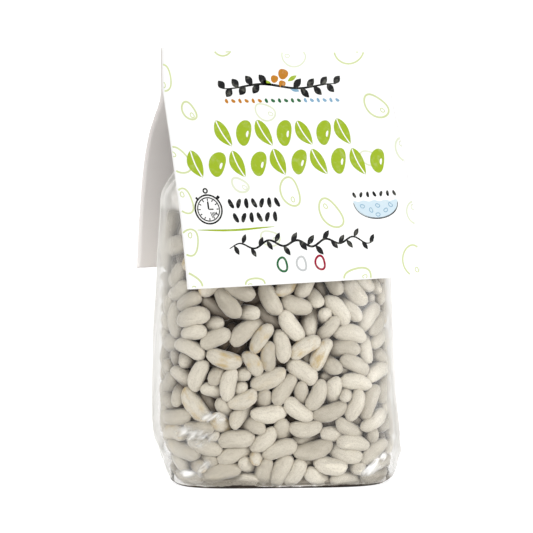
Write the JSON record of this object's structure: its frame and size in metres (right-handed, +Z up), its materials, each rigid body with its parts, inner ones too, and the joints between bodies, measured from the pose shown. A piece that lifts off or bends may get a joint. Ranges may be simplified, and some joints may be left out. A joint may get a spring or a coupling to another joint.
{
  "type": "clear film bag of dried white beans with a folded header card",
  "caption": "Upright clear film bag filled with dried white beans, standing on its flat base, with a folded printed card over its closed top.",
  "frame": {"origin": "on the ground, under the middle of the pack's bounding box", "axes": "+Z up; -Y is the way the card's printed front faces; +X is the card's right seen from the front, along its fold. The soft bag's base is turned 20 degrees about Z from the card"},
  "size_m": [0.1041, 0.0732, 0.177],
  "materials": {
    "film": "clear glossy film over matt off-white beans",
    "card": "smooth white printed card, slightly satin"
  },
  "bodies": {
    "root": {"bag": "film", "header_card": "card"}
  },
  "joints": []
}
